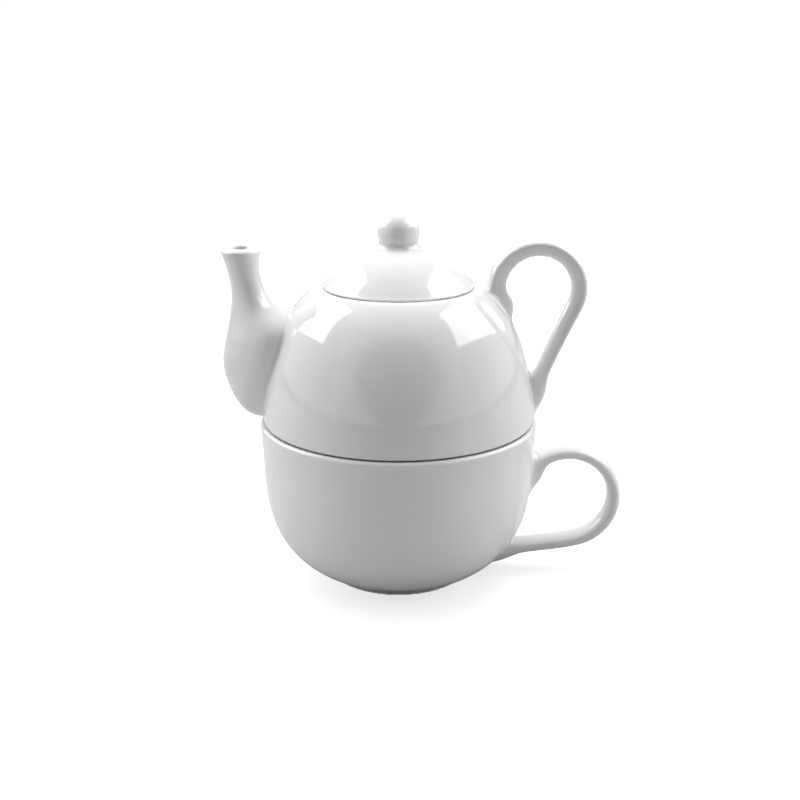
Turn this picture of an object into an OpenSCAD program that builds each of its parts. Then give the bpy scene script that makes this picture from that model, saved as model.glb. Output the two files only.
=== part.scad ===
// Tea for one: a small porcelain teapot with a lid, stacked on its own cup.
// Three fired pieces in millimetres, +Z up, the cup's foot on Z = 0, the spout
// towards -X and both handles towards +X.

/* [Cup] */
// Height of the cup's lip above the table
cup_height = 66.5; // [60:0.5:72]
// Outside radius of the cup's wall, before the lip turns out
cup_radius = 55.4; // [51:0.2:60]
// Thickness of the cup's wall, which is also the thickness of its round lip
cup_wall = 3.4; // [2.8:0.1:4]
// How far the lip turns out beyond the wall
lip_flare = 1; // [0.2:0.1:2]
// How far below the lip the flare dies away
lip_reach = 8; // [4:0.5:14]
// Height of the cup's inside floor above the table
cup_floor = 5.8; // [5:0.1:8]
// Outside radius of the ring that the cup stands on
foot_radius = 28.8; // [26:0.2:33]
// Width of the foot ring
foot_width = 3.4; // [2.4:0.1:5]
// Height of the foot ring below the bowl
foot_height = 1.6; // [1:0.1:2.4]

/* [Cup handle] */
// Depth of the upper root below the lip, at the middle of the strap
cup_handle_drop = 21.5; // [19:0.5:25]
// Radius of the loop, along the middle of the strap
cup_loop = 19.4; // [17:0.2:22]
// Height above the table where the lower end runs into the bowl
cup_handle_foot = 7.2; // [6:0.2:9]
// Thickness of the strap
cup_strap = 5.3; // [4.4:0.1:6.2]
// Width of the strap
cup_strap_width = 10.8; // [9:0.2:13]

/* [Teapot] */
// Height of the teapot's mouth above the cup's lip
pot_height = 55.3; // [50:0.1:60]
// How far the teapot's wall stands in from the wall of the cup
pot_inset = 0.5; // [0:0.1:1]
// Thickness of the teapot's wall
pot_wall = 3.6; // [3:0.1:4.2]
// Gap between the cup's lip and the ledge that rests on it
stack_gap = 0.3; // [0.2:0.05:0.5]
// Depth of the step that nests in the cup
nest_depth = 8; // [6:0.5:11]
// Clearance between that step and the inside of the lip
nest_clearance = 1.3; // [0.8:0.1:2]
// Inside radius of the throat below the lid
throat_radius = 28.2; // [25:0.2:30]
// Width of the seat that the lid rests on
seat_width = 3.2; // [2.6:0.1:4]

/* [Teapot handle] */
// Height of the upper root above the cup's lip, at the middle of the strap
pot_handle_rise = 49.6; // [46:0.2:51]
// Radius of the loop, along the middle of the strap
pot_loop = 16.4; // [15:0.2:18]
// Thickness of the strap
pot_strap = 7.1; // [5.8:0.1:8]
// Width of the strap
pot_strap_width = 9.2; // [7.6:0.2:11]
// Share of the strap's thickness lost towards its lower end
pot_strap_taper = 0.28; // [0:0.02:0.4]

/* [Spout] */
// Height of the spout's edge above the cup's lip
spout_height = 68.5; // [65:0.5:74]
// Outside diameter of the spout at its tip
spout_tip = 15.6; // [14:0.2:17]
// Greatest width of the spout, where it grows from the wall
spout_width = 20; // [17:0.5:22]
// Share by which the spout's section narrows from the teapot's wall to its front
spout_egg = 0.6; // [0:0.05:0.7]
// Wall of the spout
spout_wall = 2.65; // [2.2:0.05:3]
// Diameter of the pouring hole
spout_bore = 7.6; // [6.6:0.2:8.4]
// Diameter of one strainer hole in the wall behind the spout
strainer_bore = 3.6; // [3:0.1:4.2]
// Spacing of the strainer holes
strainer_pitch = 5.4; // [5:0.1:6]

/* [Lid] */
// Rise of the lid's dome above its edge, without the knob
lid_rise = 16; // [12:0.2:18]
// Thickness of the lid
lid_wall = 3.4; // [2.8:0.1:4]
// Gap between the lid's edge and the rim around the seat
lid_gap = 1.3; // [0.8:0.1:1.8]
// Clearance between the lid's flange and the throat
flange_clearance = 0.9; // [0.6:0.1:1.4]
// How far the flange hangs into the throat
flange_depth = 7; // [5:0.5:9]
// Radius of the ball knob
knob_radius = 8.3; // [7:0.1:9.5]
// Diameter of the steam vent
vent_bore = 2.4; // [2:0.1:3]

/* [Hidden] */
$fn = 120;
porcelain = "ghostwhite";

// Steps round a swept section, along a sweep and along a curved profile
ring_steps = 20;
path_steps = 40;
profile_steps = 18;
taper_power = 1.5;
arc_steps = 6;
// Overshoot that lets a cutting shape pass its target
past = 1;

// Share of the full radius left at distance x along a wall that closes at full:
// power says how late the wall turns in, and root how square its shoulder is.
function fall(x, full, power, root) = pow(max(0, 1 - pow(max(0, x) / full, power)), 1 / root);

// Points of an arc in a profile, from angle a to angle b
function arc(centre, radius, a, b) =
    [for (i = [0:arc_steps]) let (t = a + (b - a) * i / arc_steps)
        centre + radius * [cos(t), sin(t)]];

// Evenly spaced values from a to b
function steps(a, b, count) = [for (i = [0:count]) a + (b - a) * i / count];

// Cup wall: the bowl keeps its width and turns in late, and the lip turns out
bowl_turn = 4;
bowl_round = 2;
bowl_overrun = 3.7;
hollow_turn = 4.6;
hollow_round = 2.6;
lip_radius = cup_wall / 2;
foot_bevel = 0.5;
foot_taper = 1;
function lip_out(depth) = lip_flare * exp(-depth / lip_reach);
function cup_outside(depth) =
    cup_radius * fall(depth, cup_height + bowl_overrun, bowl_turn, bowl_round) + lip_out(depth);
function cup_inside(depth) =
    (cup_radius - cup_wall + lip_out(depth)) * fall(depth, cup_height - cup_floor, hollow_turn, hollow_round);
hollow_depth = cup_height - cup_floor - lip_radius;
hollow_points = [for (a = steps(0, 90, profile_steps)) let (d = lip_radius + hollow_depth * sin(a))
    [a == 90 ? 0 : cup_inside(d), cup_height - d]];

// Teapot wall: a full shoulder that closes a little above the mouth
shoulder_turn = 1.68;
shoulder_round = 3.83;
crown_over_mouth = 5;
dome_start = 4;
pot_radius = cup_radius - pot_inset;
pot_crown = pot_height + crown_over_mouth;
rim_z = cup_height;
mouth_z = rim_z + pot_height;
function pot_outside(rise) = pot_radius * fall(rise, pot_crown, shoulder_turn, shoulder_round);
function pot_inside(rise) =
    (pot_radius - pot_wall) * fall(rise, pot_crown - pot_wall, shoulder_turn, shoulder_round);

// Ledge, nesting step and inside floor of the teapot
ledge_z = rim_z + stack_gap;
ledge_edge = 1;
nest_radius = cup_inside(lip_radius) - nest_clearance;
nest_z = rim_z - nest_depth;
nest_edge = 1.6;
nest_ring = 4;
nest_recess = 1.2;
pot_floor = nest_z + nest_recess + pot_wall;
floor_round = 5;

// Mouth: a flat seat sunk a little below the shoulder
seat_sink = 0.7;
seat_z = mouth_z - seat_sink;
seat_radius = throat_radius + seat_width;
seat_thickness = 3.6;

// Lid
lid_radius = seat_radius - lid_gap;
lid_edge = 0.5;
lid_turn = 2.25;
lid_z = seat_z + stack_gap;
dome_z = lid_z + lid_edge;
flange_radius = throat_radius - flange_clearance;
knob_sink = 3.7;
knob_z = dome_z + lid_rise - knob_sink + knob_radius;
neck_radius = 0.75 * knob_radius;
vent_offset = 0.5 * lid_radius;
function lid_top(r) = dome_z + lid_rise * (1 - pow(r / lid_radius, lid_turn));

// Curve through a list of points (Catmull-Rom), u running from 0 to 1
function spline_at(points, u) =
    let (last = len(points) - 1, s = min(max(u, 0), 1) * last, i = min(floor(s), last - 1), t = s - i,
         p1 = points[i], p2 = points[i + 1],
         p0 = i > 0 ? points[i - 1] : 2 * p1 - p2,
         p3 = i + 2 <= last ? points[i + 2] : 2 * p2 - p1)
    0.5 * (2 * p1 + (p2 - p0) * t + (2 * p0 - 5 * p1 + 4 * p2 - p3) * t * t
           + (3 * p1 - p0 - 3 * p2 + p3) * t * t * t);

function bezier_at(p, t) =
    pow(1 - t, 3) * p[0] + 3 * t * pow(1 - t, 2) * p[1] + 3 * t * t * (1 - t) * p[2] + pow(t, 3) * p[3];

// One oval ring across the XZ plane: centre and half axis along u in that plane, half width along Y.
// egg is the share by which it gets narrower towards the end of that axis, and wider towards its start.
function oval(centre, u, half, half_width, egg = 0) =
    [for (k = [0:ring_steps - 1]) let (a = 360 * k / ring_steps, q = centre + half * cos(a) * u)
        [q[0], half_width * (1 - egg * cos(a)) * sin(a), q[1]]];

// Closed skin over a list of rings, which run with u to the left of their direction
module skin(rings) {
    n = ring_steps;
    m = len(rings);
    points = [for (ring = rings) each ring];
    sides = [for (i = [0:m - 2], k = [0:n - 1]) let (j = (k + 1) % n)
        each [[i * n + k, i * n + j, (i + 1) * n + k], [i * n + j, (i + 1) * n + j, (i + 1) * n + k]]];
    first = [for (k = [n - 1:-1:0]) k];
    end = [for (k = [0:n - 1]) (m - 1) * n + k];
    polyhedron(points, concat([first], sides, [end]), convexity = 6);
}

// Handle path in the XZ plane: clockwise round a loop, then a curve down to the lower root.
// root is where the strap's middle leaves the wall and sink the step from there into the wall,
// foot is where it ends and foot_dir the way it runs in.
function loop_centre(root, radius, start) = root - radius * [cos(start), sin(start)];
function handle_path(root, radius, start, leave, sink, foot, foot_dir, reach_out, reach_in) =
    let (c = loop_centre(root, radius, start),
         p0 = c + radius * [cos(leave), sin(leave)],
         heading = [sin(leave), -cos(leave)])
    concat([root + sink],
           [for (a = steps(start, leave, path_steps)) c + radius * [cos(a), sin(a)]],
           [for (t = [1:path_steps / 2])
               bezier_at([p0, p0 + reach_out * heading, foot - reach_in * foot_dir, foot], t * 2 / path_steps)]);

function path_dir(path, i) =
    let (a = path[max(0, i - 1)], b = path[min(len(path) - 1, i + 1)]) (b - a) / norm(b - a);

// Length along a path up to each of its points
function path_lengths(path, i = 0, sum = 0) =
    i == len(path) ? [] :
    let (s = sum + (i > 0 ? norm(path[i] - path[i - 1]) : 0)) concat([s], path_lengths(path, i + 1, s));

// Strap that spreads into a root on the wall at each end. A root is given as
// [direction along the wall, half length there, half width there, reach of the spread].
// taper is the share of its thickness that the strap loses on the way down.
module strap(path, half, half_width, roots, taper = 0) {
    s = path_lengths(path);
    total = s[len(s) - 1];
    skin([for (i = [0:len(path) - 1])
        let (d = path_dir(path, i),
             near = [exp(-pow(s[i] / roots[0][3], 2)), exp(-pow((total - s[i]) / roots[1][3], 2))],
             mixed = (1 - near[0] - near[1]) * [-d[1], d[0]] + near[0] * roots[0][0] + near[1] * roots[1][0])
        oval(path[i], mixed / norm(mixed),
             half * (1 - taper * pow(s[i] / total, taper_power))
                 + near * [roots[0][1] - half, roots[1][1] - half],
             half_width + near * [roots[0][2] - half_width, roots[1][2] - half_width])]);
}

// Cup handle: the upper root grows from the wall below the lip, the lower one runs along the bowl.
// Each root's middle lies a little outside the wall, so that its rounded end shows.
cup_loop_start = 139;
cup_loop_leave = -77;
cup_root_out = 0.4;
cup_foot_out = 1;
cup_root = [cup_outside(cup_handle_drop) + cup_root_out, cup_height - cup_handle_drop];
cup_foot = [cup_outside(cup_height - cup_handle_foot) + cup_foot_out, cup_handle_foot];
cup_handle_path = handle_path(cup_root, cup_loop, cup_loop_start, cup_loop_leave, [-1.4, -1.4],
                              cup_foot, [-0.94, -0.34], 14, 12);
cup_roots = [[[0, 1], 9, 6.6, 5], [[-0.69, -0.73], 7.2, 6.4, 7]];

// Teapot handle: rises from the shoulder beside the lid and comes down along the wall
pot_loop_start = 195;
pot_loop_leave = -25.5;
pot_foot_rise = 9.4;
pot_root_out = 0.26;
pot_foot_out = -0.15;
pot_root = [pot_outside(pot_handle_rise) + pot_root_out, rim_z + pot_handle_rise];
pot_foot = [pot_outside(pot_foot_rise) + pot_foot_out, rim_z + pot_foot_rise];
pot_handle_path = handle_path(pot_root, pot_loop, pot_loop_start, pot_loop_leave, [-1.7, -1.5],
                              pot_foot, [-0.36, -0.93], 20, 12);
pot_roots = [[[-0.65, 0.76], 9.6, 6.2, 4.2], [[0.08, -1], 9.1, 4.2, 7]];

// Spout rails as [distance out from the teapot's greatest radius, share of the spout's height]:
// the front rail is the long curve away from the pot, the back rail the short one above it.
front_rail = [[-4, 0.008], [8, 0.052], [15.5, 0.28], [14.9, 0.47], [12, 0.68], [12.3, 0.85], [15.2, 1]];
back_rail = [[-16.5, 0.655], [-11.2, 0.668], [-5.4, 0.7], [-2, 0.76], [-0.1, 0.85], [0.3, 0.92], [-0.4, 1]];
rail_tip = front_rail[len(front_rail) - 1][0] - back_rail[len(back_rail) - 1][0];
spout_girth = [0.86, 0.96, 1, 0.92, 0.7, 0.64, 0.78];
spout_steps = 26;
lip_steps = 4;
lip_crown = 1.9;
strainer_share = 0.33;
function rail_point(rail, u) =
    let (p = spline_at(rail, u)) [-(pot_radius + p[0]), rim_z + spout_height * p[1]];
function spout_frame(u) =
    let (a = rail_point(front_rail, u), b = rail_point(back_rail, u), l = norm(a - b))
    [(a + b) / 2, (a - b) / l, l / 2 * (1 + (spout_tip / rail_tip - 1) * pow(u, 4)),
     (u < 1 ? spline_at(spout_girth, u) * spout_width / 2 : spout_tip / 2),
     spout_egg * (1 - u * u)];

module spout_outside() {
    tip = spout_frame(1);
    skin(concat(
        [for (u = steps(0, 1, spout_steps)) let (f = spout_frame(u)) oval(f[0], f[1], f[2], f[3], f[4])],
        [for (i = [1:lip_steps])
            let (a = 90 * i / lip_steps, inward = (tip[2] - spout_bore / 2) * (1 - cos(a)))
            oval(tip[0] + [0, lip_crown * sin(a)], tip[1], tip[2] - inward, tip[3] - inward)]));
}

// The channel keeps the spout's wall and narrows to the pouring hole
module spout_channel() {
    tip = spout_frame(1);
    bore = spout_bore / 2;
    skin(concat(
        [for (u = steps(0, 1, spout_steps)) let (f = spout_frame(u), w = pow(u, 6))
            oval(f[0], f[1], (f[2] - spout_wall) * (1 - w) + bore * w,
                 (f[3] - spout_wall) * (1 - w) + bore * w, f[4])],
        [oval(tip[0] + [0, lip_crown + past], tip[1], bore, bore)]));
}

// Seven round holes in the wall behind the spout, one in the middle of six
module strainer() {
    middle = rim_z + strainer_share * spout_height;
    places = concat([[0, 0]], [for (a = [30:60:330]) strainer_pitch * [cos(a), sin(a)]]);
    for (p = places)
        translate([-pot_radius - past, p[0], middle + p[1]])
            rotate([0, 90, 0])
                cylinder(d = strainer_bore, h = pot_radius / 3);
}

module cup_bowl() {
    lip_centre = [cup_outside(lip_radius) - lip_radius, cup_height - lip_radius];
    bowl_end = cup_height - foot_height;
    foot_inner = foot_radius - foot_width;
    rotate_extrude()
        polygon(concat(
            [[0, foot_height], [foot_inner - foot_taper, foot_height], [foot_inner, foot_bevel],
             [foot_inner + foot_bevel, 0], [foot_radius - foot_bevel, 0], [foot_radius, foot_bevel]],
            [for (d = steps(bowl_end, lip_radius, profile_steps)) [cup_outside(d), cup_height - d]],
            arc(lip_centre, lip_radius, 15, 165),
            hollow_points));
}

module cup() {
    color(porcelain)
        difference() {
            union() {
                cup_bowl();
                strap(cup_handle_path, cup_strap / 2, cup_strap_width / 2, cup_roots);
            }
            cup_hollow();
        }
}

// Space inside the cup, cut again so that no handle root shows through the wall
module cup_hollow() {
    rotate_extrude()
        polygon(concat([[0, cup_height + past], [cup_inside(0), cup_height + past]], hollow_points));
}

module pot_solid() {
    ring_inner = nest_radius - nest_edge - nest_ring;
    rotate_extrude()
        polygon(concat(
            [[0, nest_z + nest_recess], [ring_inner - nest_recess, nest_z + nest_recess], [ring_inner, nest_z]],
            arc([nest_radius - nest_edge, nest_z + nest_edge], nest_edge, -90, 0),
            [[nest_radius, ledge_z]],
            arc([pot_radius - ledge_edge, ledge_z + ledge_edge], ledge_edge, -90, 0),
            [for (t = steps(0, 90, profile_steps)) let (h = dome_start + (pot_height - dome_start) * sin(t))
                [pot_outside(h), rim_z + h]],
            [[0, mouth_z]]));
}

module pot_hollow() {
    side = nest_radius - pot_wall;
    neck_rise = pot_height - seat_sink - seat_thickness;
    rotate_extrude()
        polygon(concat(
            [[0, pot_floor]],
            arc([side - floor_round, pot_floor + floor_round], floor_round, -90, 0),
            [[side, rim_z]],
            [for (t = steps(0, 90, profile_steps)) let (h = dome_start + (neck_rise - dome_start) * sin(t))
                [pot_inside(h), rim_z + h]],
            [[throat_radius, rim_z + neck_rise], [throat_radius, seat_z], [seat_radius, seat_z],
             [seat_radius + seat_sink + past, mouth_z + past], [0, mouth_z + past]]));
}

module teapot() {
    color(porcelain)
        difference() {
            union() {
                difference() {
                    spout_outside();
                    spout_channel();
                }
                pot_solid();
                strap(pot_handle_path, pot_strap / 2, pot_strap_width / 2, pot_roots, pot_strap_taper);
            }
            pot_hollow();
            strainer();
        }
}

module lid() {
    inner = flange_radius - lid_wall;
    apex = dome_z + lid_rise;
    color(porcelain)
        difference() {
            union() {
                rotate_extrude()
                    polygon(concat(
                        [[inner, lid_z - flange_depth], [flange_radius, lid_z - flange_depth],
                         [flange_radius, lid_z]],
                        arc([lid_radius - lid_edge, lid_z + lid_edge], lid_edge, -90, 0),
                        [for (r = steps(lid_radius, neck_radius, profile_steps)) [r, lid_top(r)]],
                        [[neck_radius, knob_z - neck_radius / 2], [0, knob_z - neck_radius / 2]],
                        [for (r = steps(0, inner, profile_steps / 2)) [r, lid_top(r) - lid_wall]]));
                translate([0, 0, knob_z])
                    sphere(r = knob_radius);
            }
            translate([0, vent_offset, dome_z - lid_wall])
                cylinder(d = vent_bore, h = lid_rise + lid_wall);
        }
}

cup();
teapot();
lid();
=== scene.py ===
"""Looks of a porcelain tea for one: a small teapot with its lid, stacked on the cup it is drunk from.

All three pieces are white glazed porcelain. The cup and the teapot are each one casting with its
handle and spout joined on wet, so their skins run into one another without a seam: each is drawn
here as one distance field, in which the parts blend, and is then given a fine skin. The lid is
turned, so it is a lathe. Sizes inside the classes are in millimetres, and meshes are in metres.
"""

from __future__ import annotations

import logging
import math
from dataclasses import dataclass, field
from enum import Enum
from functools import cache, partial
from typing import Callable, Sequence

import bpy
import numpy as np
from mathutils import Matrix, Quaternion, Vector

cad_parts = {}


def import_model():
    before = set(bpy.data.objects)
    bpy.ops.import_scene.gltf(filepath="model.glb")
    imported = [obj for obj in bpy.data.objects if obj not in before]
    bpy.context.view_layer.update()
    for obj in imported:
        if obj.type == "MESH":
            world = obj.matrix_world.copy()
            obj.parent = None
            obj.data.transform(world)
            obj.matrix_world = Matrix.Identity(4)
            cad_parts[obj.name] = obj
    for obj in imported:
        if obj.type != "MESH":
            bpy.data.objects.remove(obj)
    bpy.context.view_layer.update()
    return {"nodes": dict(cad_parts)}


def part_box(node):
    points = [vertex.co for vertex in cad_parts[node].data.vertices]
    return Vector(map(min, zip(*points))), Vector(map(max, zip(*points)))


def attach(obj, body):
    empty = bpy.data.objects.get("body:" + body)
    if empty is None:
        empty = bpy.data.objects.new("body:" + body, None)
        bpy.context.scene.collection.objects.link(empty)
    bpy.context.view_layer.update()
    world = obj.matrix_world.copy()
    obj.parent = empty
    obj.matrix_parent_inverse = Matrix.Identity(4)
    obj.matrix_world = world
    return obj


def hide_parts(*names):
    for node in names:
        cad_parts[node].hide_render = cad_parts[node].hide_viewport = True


LOG = logging.getLogger("tea_for_one")
MM = 0.001
# A distance in millimetres beyond which fields need not tell how far it is
FAR = 12.0
# How far into a wall a spout or handle is kept, so that it doesn't come out inside
SINK = 0.8
CUP_CELL = 0.87
TEAPOT_CELL = 0.97
Array = np.ndarray
DistanceField = Callable[[Array], Array]
Pair = tuple[float, float]
Place = tuple[float, float, float]
Rgba = tuple[float, float, float, float]
Outline = list[Pair]


def unit(rows: Array) -> Array:
    """Rows scaled to length 1."""
    return rows / np.maximum(np.linalg.norm(rows, axis=1), 1e-9)[:, None]


def gather(index: Array, rows: Array, count: int) -> Array:
    """Sums of the rows that share an index, for indices up to count."""
    return np.stack([np.bincount(index, rows[:, i], count) for i in range(3)], axis=1)


def smooth_min(a: Array, b: Array, reach: float) -> Array:
    """Union of two forms' distances, with a fillet that starts at reach from the joint."""
    near = np.clip(1.0 - np.abs(a - b) / reach, 0.0, None)
    return np.minimum(a, b) - near**3 * reach / 6.0


def smooth_max(a: Array, b: Array, reach: float) -> Array:
    """Overlap of two forms, with the edge between them rounded over reach."""
    return -smooth_min(-a, -b, reach)


def rounded_disc(r: Array, z: Array, radius: float, low: float, high: float, edge: float) -> Array:
    """Distance to an upright round block.

    Args:
        r: Distances of the points from the block's axis.
        z: Heights of the points.
        radius: Radius of the block.
        low: Height of its lower face.
        high: Height of its upper face.
        edge: Radius of its rounded edges.

    Returns:
        Distances, negative inside the block.
    """
    out = r - (radius - edge)
    up = np.abs(z - (low + high) / 2) - ((high - low) / 2 - edge)
    return np.hypot(np.maximum(out, 0), np.maximum(up, 0)) + np.minimum(np.maximum(out, up), 0) - edge


def arc(middle: Pair, radius: float, turns: Sequence[float]) -> Outline:
    """Points on a circle at the given angles, in radians."""
    return [(middle[0] + radius * math.cos(a), middle[1] + radius * math.sin(a)) for a in turns]


@dataclass(frozen=True)
class RoundWall:
    """A thrown wall that keeps its radius, then turns in and closes, like a bowl or a dome."""

    radius: float
    full: float
    turn: float
    shoulder: float

    def radius_at(self, run: float) -> float:
        """Radius at a distance run along the axis from the widest place."""
        share = max(0.0, 1.0 - (max(run, 0.0) / self.full) ** self.turn)
        return self.radius * share ** (1.0 / self.shoulder)

    def distance(self, r: Array, run: Array) -> Array:
        """First-order distances to the wall, negative inside it.

        Args:
            r: Distances of the points from the axis.
            run: Distances along the axis from the widest place, towards the closed end.

        Returns:
            Distances, in millimetres.
        """
        r = np.maximum(r, 0.0) / self.radius
        h = np.maximum(run, 0.0) / self.full
        level = r**self.shoulder + h**self.turn - 1.0
        slope_r = self.shoulder * r ** (self.shoulder - 1.0) / self.radius
        slope_h = self.turn * h ** (self.turn - 1.0) / self.full
        return level / np.maximum(np.hypot(slope_r, slope_h), 1.0 / self.radius)


class Spline:
    """Smooth curve through points at even steps of a parameter from 0 to 1 (natural cubic)."""

    def __init__(self, points: Sequence[Sequence[float]] | Sequence[float]) -> None:
        """Works out the bends of the smooth curve through points, or through single numbers.

        Args:
            points: The points, or single numbers, that the curve runs through.
        """
        self.points = np.asarray(points, float).reshape(len(points), -1)
        count = len(self.points)
        system = np.eye(count)
        bends = np.zeros_like(self.points)
        for i in range(1, count - 1):
            system[i, i - 1 : i + 2] = (1.0, 4.0, 1.0)
            bends[i] = 6.0 * (self.points[i - 1] - 2.0 * self.points[i] + self.points[i + 1])
        self.bends = np.linalg.solve(system, bends)

    def at(self, u: Array) -> Array:
        """Points of the curve at parameters u, one row each.

        Args:
            u: The parameters, from 0 to 1.

        Returns:
            The points as rows.
        """
        last = len(self.points) - 1
        s = np.clip(u, 0.0, 1.0) * last
        i = np.minimum(s.astype(int), last - 1)
        t = (s - i)[:, None]
        back = 1.0 - t
        return (
            back * self.points[i]
            + t * self.points[i + 1]
            + ((back**3 - back) * self.bends[i] + (t**3 - t) * self.bends[i + 1]) / 6.0
        )


@dataclass
class Section:
    """One oval section of a limb: its middle and its axis in the XZ plane, its half sizes and its egg.

    The egg is the share by which the section gets narrower towards the axis's end, and wider
    towards its start.
    """

    middle: Array
    axis: Array
    half: float
    width: float
    egg: float = 0.0


class Limb:
    """A spout or a handle: oval sections that follow one another, as one distance field."""

    def __init__(self, sections: Sequence[Section], fullness: float = 2.0) -> None:
        """Fits smooth curves through the sections.

        Args:
            sections: The sections in order, at least four.
            fullness: 2 for an ellipse, and more for a fuller, flatter section.
        """
        self.fullness = fullness
        self.middle = Spline([s.middle for s in sections])
        self.axis = Spline([s.axis / np.linalg.norm(s.axis) for s in sections])
        self.sizes = Spline([(s.half, s.width, s.egg) for s in sections])
        reach = max(max(s.half, s.width) for s in sections)
        middles = np.array([(s.middle[0], 0.0, s.middle[1]) for s in sections])
        self.low = middles.min(axis=0) - reach - FAR / 2
        self.high = middles.max(axis=0) + reach + FAR / 2
        self.guesses = np.linspace(0.0, 1.0, 97)
        self.probe = 0.002

    def _frame(self, u: Array) -> tuple[Array, Array]:
        """Middles and unit axes of the sections at u."""
        return self.middle.at(u), unit(self.axis.at(u))

    def _ahead(self, flat: Array, u: Array) -> Array:
        """How far each point lies ahead of the section at u.

        Args:
            flat: Points as rows of x and z.
            u: One parameter for each point.

        Returns:
            Distances, negative behind the section.
        """
        middle, axis = self._frame(u)
        step = flat - middle
        return step[:, 0] * axis[:, 1] - step[:, 1] * axis[:, 0]

    def _section_of(self, flat: Array) -> Array:
        """Parameter of the section that each point of the XZ plane lies in.

        Args:
            flat: Points as rows of x and z.

        Returns:
            One parameter for each point, which is 0 or 1 beyond the limb's ends.
        """
        middle, axis = self._frame(self.guesses)
        half = self.sizes.at(self.guesses)[:, 0]
        dx = flat[:, :1] - middle[:, 0]
        dz = flat[:, 1:] - middle[:, 1]
        ahead = dx * axis[:, 1] - dz * axis[:, 0]
        aside = np.abs(dx * axis[:, 0] + dz * axis[:, 1]) / half
        crossing = (ahead[:, :-1] >= 0) & (ahead[:, 1:] < 0)
        cost = np.where(crossing, aside[:, :-1], np.inf)
        i = np.argmin(cost, axis=1)
        rows = np.arange(len(flat))
        found = np.isfinite(cost[rows, i])
        nearer_start = np.hypot(dx[:, 0], dz[:, 0]) < np.hypot(dx[:, -1], dz[:, -1])
        following = np.minimum(i + 1, len(self.guesses) - 1)
        low = np.where(found, self.guesses[i], np.where(nearer_start, 0.0, 1.0))
        high = np.where(found, self.guesses[following], low)
        before = np.where(found, ahead[rows, i], 0.0)
        after = np.where(found, ahead[rows, following], 0.0)
        for _ in range(4):
            span = before - after
            u = low + (high - low) * np.where(span > 1e-12, before / np.maximum(span, 1e-12), 0.5)
            here = self._ahead(flat, u)
            past = here < 0
            high = np.where(past, u, high)
            after = np.where(past, here, after)
            low = np.where(past, low, u)
            before = np.where(past, before, here)
        return u

    def _ring(self, points: Array, u: Array) -> tuple[Array, Array, Array]:
        """How points lie in the sections at u.

        Args:
            points: Points as rows of x, y and z.
            u: One parameter for each point.

        Returns:
            Share of the way out from the middle line, 1 on the skin; distance ahead of the
            section; and the share's slope within the section.
        """
        middle, axis = self._frame(u)
        sizes = self.sizes.at(u)
        step = points[:, [0, 2]] - middle
        share = np.sum(step * axis, axis=1) / sizes[:, 0]
        narrowing = 1.0 - sizes[:, 2] * np.clip(share, -1.0, 1.0)
        aside = np.abs(share)
        across = np.abs(points[:, 1]) / (sizes[:, 1] * narrowing)
        n = self.fullness
        ring = np.maximum((aside**n + across**n) ** (1.0 / n), 1e-6)
        rise = (across / ring) ** (n - 1.0)
        along = (aside / ring) ** (n - 1.0) * np.sign(share) + rise * across * sizes[:, 2] / narrowing
        slope = np.hypot(along / sizes[:, 0], rise / (sizes[:, 1] * narrowing))
        return ring, step[:, 0] * axis[:, 1] - step[:, 1] * axis[:, 0], slope

    def distance(self, points: Array) -> Array:
        """First-order distances to the limb's skin, negative inside, and FAR well away from it.

        Args:
            points: Points as rows of x, y and z.

        Returns:
            Distances, in millimetres.
        """
        result = np.full(len(points), FAR)
        close = np.all((points > self.low) & (points < self.high), axis=1)
        if not close.any():
            return result
        near = points[close]
        u = self._section_of(near[:, [0, 2]])
        ring, ahead, slope = self._ring(near, u)
        ring_on, ahead_on, _ = self._ring(near, u + self.probe)
        ring_back, ahead_back, _ = self._ring(near, u - self.probe)
        # The section itself changes from point to point, which tilts the skin along the limb
        tilt = (ring_on - ring_back) / np.minimum(ahead_on - ahead_back, -8.0 * self.probe)
        free = (u > self.probe) & (u < 1.0 - self.probe)
        skin = (ring - 1.0) / np.hypot(slope, np.where(free, tilt, 0.0))
        beyond = np.where(u <= 0.0, -ahead, np.where(u >= 1.0, ahead, -FAR))
        inner = np.minimum(np.maximum(skin, beyond), 0.0)
        result[close] = np.minimum(inner + np.hypot(np.maximum(skin, 0), np.maximum(beyond, 0)), FAR)
        return result


@dataclass(frozen=True)
class Root:
    """Where a handle spreads onto the wall: the wall's direction there and the size of the spread."""

    along: Pair
    half: float
    width: float
    reach: float

    def row(self) -> Array:
        """The direction and the half sizes in one row."""
        return np.array([*self.along, self.half, self.width])


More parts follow.
